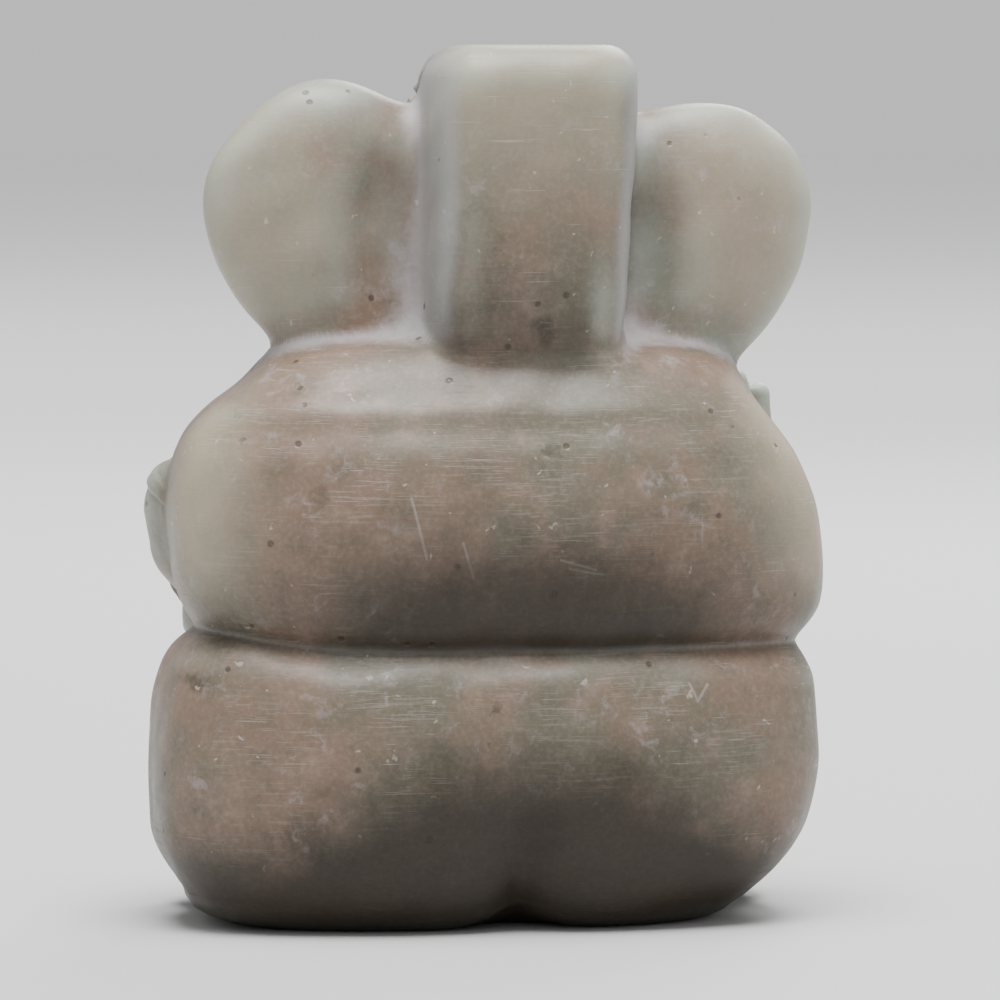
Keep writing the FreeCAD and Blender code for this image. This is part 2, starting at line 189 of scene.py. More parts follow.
# ------------------------------------------------------------------ rays over a form
@functools.lru_cache(maxsize=None)
def ball_grid(count):
    """Directions over the whole ball: six square grids of even angles on a cube, joined at their edges."""
    even = np.tan(np.linspace(-math.pi / 4, math.pi / 4, count + 1))
    u, v = np.meshgrid(even, even, indexing="ij")
    one = np.ones_like(u)
    sides = [(one, u, v), (-one, v, u), (v, one, u), (u, -one, v), (u, v, one), (v, u, -one)]
    points = np.concatenate([np.stack(side, -1).reshape(-1, 3) for side in sides])
    points /= np.linalg.norm(points, axis=1, keepdims=True)
    _, first, place = np.unique(np.round(points, 6), axis=0, return_index=True, return_inverse=True)
    cell = np.arange((count + 1) ** 2).reshape(count + 1, count + 1)
    quad = np.stack([cell[:-1, :-1], cell[1:, :-1], cell[1:, 1:], cell[:-1, 1:]], -1).reshape(-1, 4)
    quads = np.concatenate([quad + side * (count + 1) ** 2 for side in range(6)])
    return points[first], place.reshape(-1)[quads]


def ball_rays(centre, reach, count):
    """Rays from one centre: the even directions, stretched to the form's reach."""
    directions, quads = ball_grid(max(8, int(count * FINE)))
    origins = np.broadcast_to(centre, directions.shape)
    return origins.astype(np.float32), (directions * reach).astype(np.float32), quads


def tube_rays(line, reach, along, around):
    """Rays from a line: straight out from it, and fanned over half a turn at each of its ends.

    Ring by ring, each ray is cos(a) times its way round the line plus sin(a) times the way along, where a
    goes from -90 to 0 degrees at the start, stays 0, and goes on to 90 degrees at the end.
    """
    along, around = max(12, int(along * FINE)), max(12, int(around * FINE))
    runs = np.linalg.norm(np.diff(line, axis=0), axis=1)
    length = np.concatenate([[0], np.cumsum(runs)])
    fan = max(4, along // 8)
    rise = np.concatenate([np.linspace(-90, 0, fan + 1)[:-1], np.zeros(along), np.linspace(0, 90, fan + 1)[1:]])
    at = np.concatenate([np.zeros(fan), np.linspace(0, length[-1], along), np.full(fan, length[-1])])
    centres = np.stack([np.interp(at, length, column) for column in line.T], 1)
    ways = np.gradient(line, length, axis=0)
    ways = np.stack([np.interp(at, length, column) for column in ways.T], 1)
    ways /= np.linalg.norm(ways, axis=1, keepdims=True)
    side = np.cross(ways, (0.0, 1.0, 0.0))
    side /= np.linalg.norm(side, axis=1, keepdims=True)
    up = np.cross(ways, side)
    turn = np.linspace(0, 2 * math.pi, around + 1)[:-1]
    rise = np.radians(rise)
    ring = np.cos(turn)[None, :, None] * side[:, None] + np.sin(turn)[None, :, None] * up[:, None]
    spokes = np.cos(rise)[:, None, None] * ring + np.sin(rise)[:, None, None] * ways[:, None]
    rows = len(at)
    origins = np.repeat(centres, around, 0)[around - 1:1 - around]
    spokes = spokes.reshape(-1, 3)[around - 1:1 - around] * reach
    cell = (np.arange(rows * around) - around + 1).reshape(rows, around).clip(0, len(origins) - 1)
    near, far = cell[:-1], cell[1:]
    faces = np.stack([near, np.roll(near, -1, 1), np.roll(far, -1, 1), far], -1).reshape(-1, 4)
    return origins.astype(np.float32), spokes.astype(np.float32), faces


# ------------------------------------------------------------------ the forms of the idol
# Rows of a stack: height, half width, reach forward, reach back, lean to the idol's left.
HIP_LEVELS = [
    (-1.0, 17.0, 7.6, 12.0, 3.0),
    (0.0, 21.0, 9.2, 13.8, 2.0),
    (1.5, 24.0, 10.2, 15.8, 2.2),
    (3.0, 25.3, 10.9, 17.2, 1.7),
    (5.0, 27.0, 11.4, 18.3, 1.3),
    (7.5, 28.3, 11.7, 19.0, 1.15),
    (10.0, 28.8, 11.8, 19.3, 0.9),
    (13.0, 29.1, 11.8, 19.4, 0.75),
    (16.0, 29.1, 11.7, 19.1, 0.6),
    (19.0, 28.8, 11.5, 18.8, 0.45),
    (21.5, 28.25, 11.1, 18.2, 0.1),
    (24.0, 27.5, 10.6, 17.4, -0.1),
    (27.0, 26.2, 10.0, 16.4, -0.2),
]
TORSO_LEVELS = [
    (21.0, 25.6, 10.0, 16.0, -0.6),
    (24.5, 27.0, 10.6, 17.2, -0.75),
    (27.5, 28.1, 11.0, 18.1, -0.75),
    (30.0, 28.55, 11.0, 18.6, -0.55),
    (33.0, 28.6, 11.0, 18.8, -0.35),
    (36.0, 28.35, 10.9, 18.8, 0.0),
    (39.0, 27.6, 10.5, 18.3, 0.4),
    (41.0, 26.9, 10.1, 17.7, 0.6),
    (43.0, 25.8, 9.6, 16.7, 0.7),
    (45.0, 24.1, 8.9, 15.8, 0.5),
    (47.0, 22.0, 8.1, 14.0, -0.2),
    (49.0, 20.1, 7.3, 11.8, -0.5),
    (52.0, 17.4, 5.6, 8.0, -0.5),
]
CROWN_LEVELS = [
    (45.0, 8.1, 3.4, 12.2, -2.2),
    (50.0, 8.3, 3.8, 12.9, -2.3),
    (57.0, 8.5, 4.6, 13.7, -2.5),
    (65.0, 8.8, 7.4, 14.2, -2.8),
    (71.0, 9.0, 7.6, 14.1, -3.0),
    (74.0, 8.9, 7.0, 13.7, -3.25),
    (78.0, 8.6, 6.0, 12.8, -3.6),
]
HEAD_AT = np.array([-1.5, -3.6, 56.0])
# Each ear: which way it points, its middle across and up, its long and short half and its lean outwards.
EARS = {"left": (1, 11.4, 59.2, 14.2, 11.4, 42.6, 2.3), "right": (-1, -14.9, 57.6, 15.5, 11.5, 50.4, 2.02)}
EAR_THICK = 5.2
EAR_BACK = 1.6


def ear_field(side):
    """A thick oval lobe that leans outwards, scooped behind beside the crown and in front as the ear's bowl."""
    way, x, z, long, short, lean, power = EARS[side]
    lean = math.radians(lean)
    out, up = way * math.sin(lean), math.cos(lean)
    turn = np.array([(out, 0.0, -up), (0.0, 1.0, 0.0), (up, 0.0, out)], np.float32)
    middle = np.array((x, EAR_BACK, z), np.float32)
    lobe = pebble((0, 0, 0), (long, EAR_THICK, short), power)
    behind = pebble((x - way * 6.0, 14.6, z + 1.0), (10.0, 10.5, 16.0), 2.0)
    bowl = pebble((x + way * 1.0, -14.2, z + 0.6), (9.0, 12.0, 9.6), 2.0)
    return hollowed(lambda p: lobe((p - middle) @ turn), [behind, bowl], 2.4)


def trunk_line():
    """The trunk's line: a straight fall that slants forward, then a circle towards the idol's left."""
    fall, curl, slant = 23.5, 7.4, math.radians(12)
    down = np.linspace(0, fall, 6)[:-1]
    turn = np.radians(np.linspace(180, 330, 15))
    across = np.concatenate([0 * down, curl + curl * np.cos(turn)])
    drop = np.concatenate([-down, -fall + curl * np.sin(turn)])
    return np.stack([-1.5 + across, -10.0 + drop * math.sin(slant), 60 + drop * math.cos(slant)], 1)


TRUNK = trunk_line()
TRUNK_RADII = np.interp(np.linspace(0, 1, len(TRUNK)), [0, 0.25, 0.6, 1], [5.2, 3.9, 3.2, 2.5])


def head_field():
    """The skull with two domes on the brow and two cheeks."""
    x, y, z = HEAD_AT
    parts = [pebble(HEAD_AT, (11.2, 10.4, 12.6), 2.2)]
    for way in (1, -1):
        parts.append(pebble((x + way * 4.4, y - 5.2, z + 7.2), (5.4, 5.0, 5.0), 2.0))
        parts.append(pebble((x + way * 5.6, y - 5.6, z - 3.4), (5.0, 4.6, 5.6), 2.0))
    return mixed(parts, 0.8)


def palm_field():
    """The raised hand: a padded palm, four fingers side by side and the thumb across."""
    low, high = span("hand_right")
    x, y = (low[0] + high[0]) / 2, (low[1] + high[1]) / 2
    width = high[0] - low[0]
    palm = pebble((x, y, low[2] + 4.6), (width * 0.47, 3.6, 5.0), 2.8)
    parts = [palm]
    for finger, tip in enumerate((-1.6, -0.4, -0.3, -1.0)):
        at = low[0] + width * (0.16 + 0.227 * finger)
        parts.append(rod([(at, y - 0.4, low[2] + 5), (at, y - 0.2, high[2] - 1.4 + tip)], [1.35, 1.15]))
    parts.append(rod([(high[0] - 1.6, y - 1.6, low[2] + 3), (high[0] - 1.2, y - 2.4, low[2] + 7.4)], [1.6, 1.2]))
    return mixed(parts, 0.3)


def cup_field():
    """The lowered hand: a round bowl under the sweet, four fingers curled up round its front.

    Each finger follows the bowl: across by the sine and forward by the cosine of its turn, both less as the
    finger leaves the bowl's waist, and up by the sine of its rise.
    """
    low, high = span("hand_left")
    middle = np.array([(low[0] + high[0]) / 2, (low[1] + high[1]) / 2 + 0.1, low[2] + 4.4])
    parts = [pebble(middle, (5.3, 4.3, 4.1), 2.0)]
    rise = np.radians([-62, -38, -14, 6, 24])
    for turn in np.radians([-51, -17, 17, 51]):
        across = 4.9 * math.sin(turn) * np.cos(rise)
        forward = -3.8 * math.cos(turn) * np.cos(rise)
        curl = middle + np.stack([across, forward, 3.5 * np.sin(rise)], 1)
        parts.append(rod(curl, [1.1, 1.25, 1.3, 1.25, 1.05]))
    top = high[2] - 0.3

    def distance(p):
        return soft_max(soft_min([part(p) for part in parts], 0.3), p[:, 2] - top, 1.6)

    return distance


def sweet_field():
    """The modak: a pleated ball drawn up to a point, its radius waving nine times around."""
    low, high = span("modak")
    x, y = (low[0] + high[0]) / 2, (low[1] + high[1]) / 2 - 0.1
    heights = np.array([0, 0.05, 0.18, 0.36, 0.52, 0.66, 0.8, 0.92, 1.0]) * (high[2] - low[2]) + low[2] - 0.4
    radii = level_line(heights, [2.2, 3.3, 4.2, 4.1, 3.3, 2.2, 1.35, 0.9, 0.6])

    def distance(p):
        off_x, off_y = p[:, 0] - x, p[:, 1] - y
        around = np.arctan2(off_y, off_x)
        wide = radii(p[:, 2]) * (1.0 + 0.055 * np.cos(9 * around))
        side = (np.hypot(off_x, off_y) - wide) * 0.8
        return rounded_corner(rounded_corner(side, heights[0] - p[:, 2], 1.0), p[:, 2] - high[2] + 0.1, 0.5)

    return distance


def foot_field(side):
    """A flat foot on its side, with five toes at its outer end."""
    low, high = span(f"foot_{side}")
    way = 1 if side == "right" else -1
    middle = (low + high) / 2
    sole = pebble(middle + (0, 0.4, -0.3), ((high[0] - low[0]) / 2 - 0.5, 3.8, 3.3), 2.4)
    parts = [sole]
    outer = high[0] if way > 0 else low[0]
    for toe in range(5):
        z = low[2] + 1.0 + 1.15 * toe
        at = (outer - way * (1.5 + 0.12 * toe * toe), low[1] + 1.9, z)
        parts.append(pebble(at, (1.35, 1.3, 0.78), 2.2))
    return mixed(parts, 0.3)


def waisted(field):
    """The waist groove rises towards the idol's left: the form is lifted there, most at the groove."""

    def distance(p):
        lift = 1.4 * ramp(p[:, 0], 15.0, 28.0) * np.exp(-(((p[:, 2] - 24.0) / 6.0) ** 2))
        raised = p.copy()
        raised[:, 2] -= lift
        return field(raised)

    return distance


def grounded(field):
    """A form cut off flat by the surface that the idol stands on."""
    return lambda p: rounded_corner(field(p), -p[:, 2], 0.5)


FIELDS = {
    "hips": waisted(stack(HIP_LEVELS, (2.6, 2.8), 0.0, 0.9, 25.1, 4.2)),
    "torso": waisted(stack(TORSO_LEVELS, (2.6, 2.6), 22.9, 4.6, 50.3, 2.3)),
    "belly": pebble((-0.7, -7.6, 27.5), (15.2, 10.8, 13.8), 2.15),
    "head": head_field(),
    "crown": stack(CROWN_LEVELS, (2.3, 4.6), 45.5, 2.0, 75.95, 3.0),
    "ear_left": ear_field("left"),
    "ear_right": ear_field("right"),
    "trunk": rod(TRUNK, TRUNK_RADII),
    "tusk_left": rod([(5.0, -10.4, 51.0), (6.6, -16.4, 46.0)], [1.75, 0.95]),
    "tusk_right": rod([(-8.6, -10.6, 50.6), (-9.3, -13.8, 48.2)], [1.7, 1.3]),
    "arm_right": rod([(-24.0, -3.6, 36.5), (-24.0, -5.6, 31.4), (-23.5, -10.6, 36.2)], [4.9, 4.9, 3.9]),
    "arm_left": rod([(24.1, -4.8, 35.4), (23.8, -6.8, 32.4), (20.6, -11.8, 28.0)], [5.1, 4.7, 4.0]),
    "hand_right": palm_field(),
    "hand_left": cup_field(),
    "modak": sweet_field(),
    "leg_right": grounded(mixed([
        pebble((-19.3, -8.6, 7.2), (8.3, 8.4, 7.9), 2.35),
        rod([(-18.0, -9.4, 7.4), (-8.0, -11.2, 6.6), (3.5, -12.0, 5.2)], [7.4, 6.8, 5.4]),
    ], 0.4)),
    "leg_left": grounded(mixed([
        pebble((19.0, -8.4, 7.4), (8.3, 8.4, 8.0), 2.35),
        rod([(18.0, -9.0, 7.9), (8.0, -10.4, 7.8), (-3.0, -11.2, 8.0)], [7.4, 6.6, 5.2]),
    ], 0.4)),
    "foot_left": grounded(foot_field("left")),
    "foot_right": grounded(foot_field("right")),
}
# How many rays cross each side of the cube that a form's skin is found from.
COUNTS = {"hips": 118, "torso": 118, "crown": 96, "head": 100, "belly": 90, "ear_left": 88, "ear_right": 88}
SMALL_COUNT = 56
REACH = 1.9
ROOM = 7.0
FAR = 99.0
BOXES = {node: tuple(corner.astype(np.float32) for corner in span(node)) for node in FIELDS}


def neighbours(node):
    """The forms whose boxes come within reach of this one's."""
    low, high = BOXES[node]
    return [
        other for other, (least, most) in BOXES.items()
        if other != node and np.all(least < high + 5.0) and np.all(most > low - 5.0)
    ]


def field_near(name, p):
    """A form's distance, worked out only near its box and taken as far elsewhere."""
    low, high = BOXES[name]
    close = ((p > low - ROOM) & (p < high + ROOM)).all(1)
    values = np.full(len(p), FAR, np.float32)
    values[close] = FIELDS[name](p[close])
    return values


def blend_at(p):
    """How wide the creases are: narrow at the waist, wide round the head."""
    return BLEND_LOW + (BLEND_HIGH - BLEND_LOW) * ramp(p[:, 2], BLEND_FROM, BLEND_TO)


def common_skin(p, names):
    """The whole stone's field among the named forms."""
    return soft_min([field_near(name, p) for name in names], blend_at(p))


def own_skin(p, node, others):
    """One form's share of the common skin.

    Past the seam, where another form is nearer, the skin sinks: half a unit for each unit past, started
    with a parabola. The form's own distance closes it inside its neighbours, and the ground below.
    """
    own = FIELDS[node](p)
    rest = [field_near(name, p) for name in others]
    whole = soft_min([own] + rest, blend_at(p))
    past = own - functools.reduce(np.minimum, rest)
    start = np.clip(past + SEAM, 0.0, 2 * SEAM)
    sunk = DIVE * (start * start / (4 * SEAM) + np.maximum(past - SEAM, 0.0))
    return functools.reduce(np.maximum, (whole + sunk, own - MARGIN, -p[:, 2]))


def found_skin(origins, spokes, field, halvings=7, chords=4):
    """The point on each ray where the field changes sign: first by halving, then where the chord crosses 0.

    After each chord the value at the end that stays is faded, so that the next chord comes from the other side.
    """
    low, high = np.zeros(len(origins), np.float32), np.ones(len(origins), np.float32)
    inside, outside = np.full(len(origins), -1, np.float32), np.full(len(origins), 1, np.float32)
    for step in range(halvings + chords):
        halving = step < halvings
        share = 0.5 if halving else np.clip(inside / (inside - outside), 0.02, 0.98)
        fade = 1.0 if halving else 0.6
        middle = low + (high - low) * share
        value = field(origins + middle[:, None] * spokes)
        out = value > 0
        high, outside = np.where(out, middle, high), np.where(out, value, outside * fade)
        low, inside = np.where(out, low, middle), np.where(out, inside * fade, value)
    share = np.clip(inside / (inside - outside), 0.0, 1.0)
    return origins + (low + (high - low) * share)[:, None] * spokes


CORNERS = np.array([(1, 1, 1), (1, -1, -1), (-1, 1, -1), (-1, -1, 1)], np.float32) / np.float32(math.sqrt(3))


def slope_of(p, field, step):
    """The field's slope, from its values at the four corners of a small tetrahedron."""
    return sum(corner * field(p + step * corner)[:, None] for corner in CORNERS) * (0.75 / step)


def unit(vectors):
    """Each vector over its own length."""
    return vectors / np.maximum(np.linalg.norm(vectors, axis=1, keepdims=True), 1e-9)


# ------------------------------------------------------------------ the carver's hand: relief on the skin
WAVES = np.random.default_rng(11)


def waves(count, length):
    """Seeded waves of about one length in all directions: wave vectors and phases."""
    ways = WAVES.normal(size=(count, 3))
    ways /= np.linalg.norm(ways, axis=1, keepdims=True)
    ways *= 2 * math.pi / (length * WAVES.uniform(0.7, 1.5, size=(count, 1)))
    return ways, WAVES.uniform(0, 2 * math.pi, size=count)


BROAD, NARROW = waves(9, 13.0), waves(9, 5.0)


def rippled(p, kind):
    """The mean of sines along the waves, about -0.7 to 0.7."""
    ways, phases = kind
    return np.sin(p @ ways.T + phases).sum(1) / math.sqrt(len(phases)) / 1.4


def bent(points, steps=5):
    """A smooth line through the points: Hermite cubics, in so many steps from each point to the next."""
    order = np.arange(len(points))
    at = np.linspace(0, order[-1], steps * order[-1] + 1)
    return np.stack([level_line(order, column)(at) for column in np.array(points).T], 1)


def line_place(p, points):
    """How far each point is from a line seen from the front, and how far along the line it lies."""
    flat = p[:, ::2]
    points = np.array(points, np.float32)
    best, along, passed = np.full(len(p), FAR, np.float32), np.zeros(len(p), np.float32), 0.0
    for start, end in zip(points[:-1], points[1:]):
        run = end - start
        length = float(np.hypot(*run))
        share = np.clip((flat - start) @ run / length ** 2, 0.0, 1.0)
        off = np.sqrt(((flat - start - share[:, None] * run) ** 2).sum(1))
        along = np.where(off < best, passed + share * length, along)
        best = np.minimum(best, off)
        passed += length
    return best, along


def on_form(p, form):
    """1 on the named form's own skin and 0 a little way off it."""
    return 1.0 - ramp(np.abs(FIELDS[form](p)), 0.5, 1.5)


def bead(along, gap):
    """0 between beads and 1 on each, with one bead per gap."""
    return 0.5 - 0.5 * np.cos(2 * math.pi * along / gap)


def stroke(p, form, points, wide, high, gap=0.0):
    """A line cut or raised on a form's front: high along the line, and down to 0 at wide from it.

    With a gap, it is a row of beads.
    """
    points = bent(points) if len(points) > 2 else np.array(points, np.float32)
    reach = wide + 0.2
    low, top = points.min(0) - reach, points.max(0) + reach
    near = (p[:, 0] > low[0]) & (p[:, 0] < top[0]) & (p[:, 2] > low[1]) & (p[:, 2] < top[1]) & (p[:, 1] < 1.0)
    height = np.zeros(len(p), np.float32)
    if near.any():
        close = p[near]
        off, along = line_place(close, points)
        height[near] = high * (1.0 - ramp(off, 0.15 * wide, wide)) * on_form(close, form)
        if gap:
            height[near] *= bead(along, gap)
    return height


# The square of how far from its middle a band is felt.
BAND_NEAR = 90.0


def ring(p, form, at, way, wide, high):
    """A band round a limb where it is cut by a plane: high on the plane, and 0 at wide from it."""
    near = ((p - np.array(at, np.float32)) ** 2).sum(1) < BAND_NEAR
    height = np.zeros(len(p), np.float32)
    if near.any():
        close = p[near]
        off = np.abs((close - np.array(at, np.float32)) @ unit(np.array([way], np.float32))[0])
        height[near] = high * (1.0 - ramp(off, 0.4 * wide, wide)) * on_form(close, form)
    return height


def dot(p, form, at, half, high):
    """A raised or sunken oval: high in its middle, falling as the square of the distance goes to 1."""
    off = ((p[:, 0] - at[0]) / half[0]) ** 2 + ((p[:, 2] - at[1]) / half[1]) ** 2
    near = (off < 1.0) & (p[:, 1] < 1.0)
    height = np.zeros(len(p), np.float32)
    if near.any():
        height[near] = high * (1.0 - off[near]) ** 1.5 * on_form(p[near], form)
    return height


def both_sides(middle, points):
    """A line on the idol's left and the same line mirrored to its right."""
    return [[(middle + way * x, z) for x, z in points] for way in (1, -1)]


# Lines on the front: form, line, half width, height and the gap between beads.
FACE = float(HEAD_AT[0])
CROWN_MIDDLE = -3.0
LINES = [
    ("crown", [(-13.0, 69.3), (7.0, 69.3)], 0.6, 0.45, 0),
    ("crown", [(-13.0, 70.9), (7.0, 70.9)], 0.75, 0.5, 1.7),
    ("crown", [(-13.0, 72.1), (7.0, 72.1)], 0.4, 0.35, 0),
    ("belly", [(-17.0, 25.5), (-9.0, 21.2), (-0.7, 19.6), (7.6, 21.2), (15.6, 25.5)], 0.9, 0.5, 0),
    ("belly", [(-17.0, 26.9), (-9.0, 22.7), (-0.7, 21.1), (7.6, 22.7), (15.6, 26.9)], 0.6, 0.45, 1.3),
    ("belly", [(13.0, 43.0), (4.0, 36.5), (-5.0, 29.5), (-14.0, 26.0)], 0.5, 0.4, 0),
    ("torso", [(15.0, 44.0), (12.0, 41.0), (9.0, 38.5)], 0.5, 0.4, 0),
]
PETAL = [(-1.5, 72.2), (-1.3, 73.5), (0.0, 75.0), (1.3, 73.5), (1.5, 72.2)]
PETAL_GAP = 3.5
for petal in range(-2, 3):
    LINES.append(("crown", [(CROWN_MIDDLE + PETAL_GAP * petal + x, z) for x, z in PETAL], 0.45, 0.3, 0))
for points in both_sides(FACE, [(2.4, 60.9), (4.4, 62.0), (6.6, 61.7), (8.6, 60.2)]):
    LINES.append(("head", points, 0.8, 0.5, 0))
for points in both_sides(FACE, [(3.9, 58.0), (4.9, 59.3), (6.3, 59.6), (8.2, 58.2)]):
    LINES.append(("head", points, 0.6, 0.6, 0))
for points in both_sides(FACE, [(3.9, 58.0), (5.2, 57.0), (6.7, 57.1), (8.2, 58.2)]):
    LINES.append(("head", points, 0.55, 0.45, 0))
for form in ("belly", "torso"):
    LINES.append((form, [(-14.5, 45.0), (-9.5, 41.0), (-1.5, 38.6), (6.5, 41.0), (11.5, 45.0)], 0.75, 0.55, 1.6))
    LINES.append((form, [(-16.0, 43.4), (-10.5, 39.0), (-1.5, 36.2), (7.5, 39.0), (13.0, 43.4)], 0.45, 0.35, 0))
EAR_FOLD = [(-3.0, 8.4), (2.2, 7.4), (6.6, 2.8), (6.4, -3.2), (2.4, -8.4)]
EAR_GROOVE = [(-2.6, 3.6), (1.2, 2.6), (2.8, -1.2), (1.2, -5.0)]
for side, (way, x, z, *_) in EARS.items():
    for points, wide, high in ((EAR_FOLD, 1.0, 0.55), (EAR_GROOVE, 0.9, -0.5)):
        LINES.append((f"ear_{side}", [(x + way * a, z + b) for a, b in points], wide, high, 0))
CLOTH_TOP, CLOTH_GAP = 11.6, 2.5
for side, way, lift in (("left", 1, 1.6), ("right", -1, 0.0)):
    for fold in range(4):
        z = CLOTH_TOP - CLOTH_GAP * fold + lift
        points = [(26.0, z - 1.2), (19.0, z + 0.2), (11.0, z - 0.5), (3.0, z * 0.86), (-2.0, z * 0.8)]
        LINES.append((f"leg_{side}", [(way * a, b) for a, b in points], 0.8, -0.4, 0))
# Bands round the limbs: form, middle, way along the limb, half width and height.
BANDS = [
    ("arm_right", (-24.0, -9.8, 35.4), (0.0, -0.7, 0.7), 0.9, 0.45),
    ("arm_right", (-24.0, -8.6, 34.3), (0.0, -0.7, 0.7), 0.5, 0.35),
    ("arm_left", (21.8, -9.8, 29.8), (-0.6, -0.65, -0.5), 0.9, 0.45),
    ("arm_left", (22.4, -8.9, 30.6), (-0.6, -0.65, -0.5), 0.5, 0.35),
    ("arm_right", (-24.0, -4.0, 39.2), (0.0, 0.3, 1.0), 0.9, 0.4),
    ("arm_left", (23.9, -5.0, 38.2), (0.0, 0.3, 1.0), 0.9, 0.4),
    ("leg_right", (0.6, -11.8, 5.5), (1.0, -0.1, -0.1), 0.9, 0.45),
    ("leg_left", (-0.4, -11.0, 8.0), (-1.0, -0.1, 0.0), 0.9, 0.45),
]
# Ovals on the front: form, middle, half sizes and height.
DOTS = [
    ("belly", (-0.7, 24.6), (1.3, 1.5), -1.0), ("crown", (CROWN_MIDDLE, 73.3), (1.1, 1.3), 0.55),
    ("head", (FACE, 63.6), (1.1, 1.5), 0.5), ("head", (FACE + 6.0, 58.2), (1.1, 1.1), 0.6),
    ("head", (FACE - 6.0, 58.2), (1.1, 1.1), 0.6),
]
RING_GAP = 2.5


def trunk_rings(p):
    """Shallow grooves across the trunk's front, one per gap of its length."""
    near = (p[:, 1] < -8.0) & (p[:, 2] < 60.0) & (p[:, 2] > 24.0) & (np.abs(p[:, 0] - 6.0) < 15.0)
    height = np.zeros(len(p), np.float32)
    if near.any():
        close = p[near]
        _, along = line_place(close, TRUNK[:, ::2])
        height[near] = -0.32 * (1.0 - bead(along, RING_GAP)) ** 5 * on_form(close, "trunk") * ramp(along, 3.0, 7.0)
    return height


def ornaments(p):
    """Everything that is cut on the front."""
    height = trunk_rings(p)
    for form, points, wide, high, gap in LINES:
        height += stroke(p, form, points, wide, high, gap)
    for form, at, way, wide, high in BANDS:
        height += ring(p, form, at, way, wide, high)
    for form, at, half, high in DOTS:
        height += dot(p, form, at, half, high)
    return height


VALLEY_AT = -0.7


def notch(x, depth, width):
    """A rounded groove straight down the back: its depth times exp of minus the square of x over its width."""
    return depth * np.exp(-(((x - VALLEY_AT) / width) ** 2))


def relief(p):
    """How far the finished skin stands out of the common one, in millimetres.

    It is the hand's waves and the ornaments, both let out at the foot and at the crown's top, less a valley
    and a narrower cleft behind that deepen downwards.
    """
    x, y, z = p.T
    waves_high = 0.2 * rippled(p, BROAD) + 0.07 * rippled(p, NARROW)
    behind = ramp(y, 8.0, 14.0)
    valley = notch(x, 1.4, 3.8) * ramp(z, 22.0, 6.0)
    cleft = notch(x, 0.6, 1.5) * ramp(z, 14.0, 3.0)
    ends = ramp(z, 0.0, 1.6) * ramp(z, 76.0, 74.6)
    return ends * (waves_high + ornaments(p)) - behind * (valley + cleft)


# ------------------------------------------------------------------ meshes
# The trunk's rays: how long they are, how many rings there are and how many rays in each.
TRUNK_RAYS = (8.0, 130, 96)
# How far apart the skin is felt for its slope, for the slope of its relief, and for the cuts in it.
SKIN_STEP = 0.3
RELIEF_STEP = 0.1
CUT_STEP = 0.45


def worked_out(node):
    """One form's skin: its points, faces, shading normals and the masks that its stone reads."""
    low, high = BOXES[node]
    others = neighbours(node)
    names = [node] + others
    if node == "trunk":
        origins, spokes, quads = tube_rays(TRUNK, *TRUNK_RAYS)
    else:
        count = COUNTS.get(node, SMALL_COUNT)
        origins, spokes, quads = ball_rays((low + high) / 2, (high - low) / 2 * REACH, count)
    skin = found_skin(origins, spokes, lambda p: own_skin(p, node, others))
    facing = unit(slope_of(skin, lambda p: common_skin(p, names), SKIN_STEP))
    height = relief(skin)
    finished = skin + facing * height[:, None]
    shading = unit(facing - slope_of(skin, relief, RELIEF_STEP))
    tones = masks(skin, facing, lambda p: common_skin(p, names))
    # Where the relief lies below its surroundings: the stone darkens it there as painted shade in the grooves.
    around = sum(relief(skin + CUT_STEP * corner) for corner in CORNERS) / len(CORNERS)
    tones["cut"] = ramp(around - height, 0.02, 0.16)
    return finished, quads, shading, tones


def all_skins():
    """Every form's skin, four at a time."""
    with ThreadPoolExecutor(4) as workers:
        return dict(zip(FIELDS, workers.map(worked_out, FIELDS)))


def stone_piece(node, finished, quads, shading, tones):
    """A closed mesh of four-sided faces, three-sided at a tube's poles."""
    corners = [tuple(dict.fromkeys(quad)) for quad in quads.tolist()]
    mesh = bpy.data.meshes.new(node)
    mesh.from_pydata((finished * MM).tolist(), [], [c for c in corners if len(c) > 2])
    mesh.shade_smooth()
    mesh.normals_split_custom_set_from_vertices(shading.tolist())
    for name, values in tones.items():
        mask = mesh.attributes.new(name, "FLOAT", "POINT")
        mask.data.foreach_set("value", values.astype(np.float32))
    piece = bpy.data.objects.new(f"{node}_stone", mesh)
    bpy.context.scene.collection.objects.link(piece)
    return piece


# How far round a point the bend of the skin is felt, and how far under it thin stone is felt.
PROBE = 3.4
DEPTH = 6.0
MIDDLE = -1.0


def painted_shade_at(y, z, off_middle):
    """How much painted brown shade there is: the foot and middle of the hips, the torso above the waist, and the nape.

    Each share is a product of even S ramps over the height and over the way off the middle.
    """
    behind = ramp(y, 2.0, 10.0)
    middle = ramp(off_middle, 24.0, 6.0) * behind
    hips = 0.5 * middle * ramp(z, 21.5, 13.0) + 0.6 * ramp(z, 18.0, 4.0) * (0.7 + 0.3 * middle)
    foot = 0.6 * ramp(z, 10.0, 0.0)
    chest = 0.95 * ramp(z, 41.0, 25.5) * ramp(z, 23.4, 24.8) * (0.4 + 0.6 * middle) * behind
    nape = 0.55 * ramp(z, 63.0, 49.5) * ramp(z, 44.5, 49.0) * ramp(off_middle, 8.5, 5.5) * behind
    return np.clip(hips + foot + chest + nape, 0, 1)


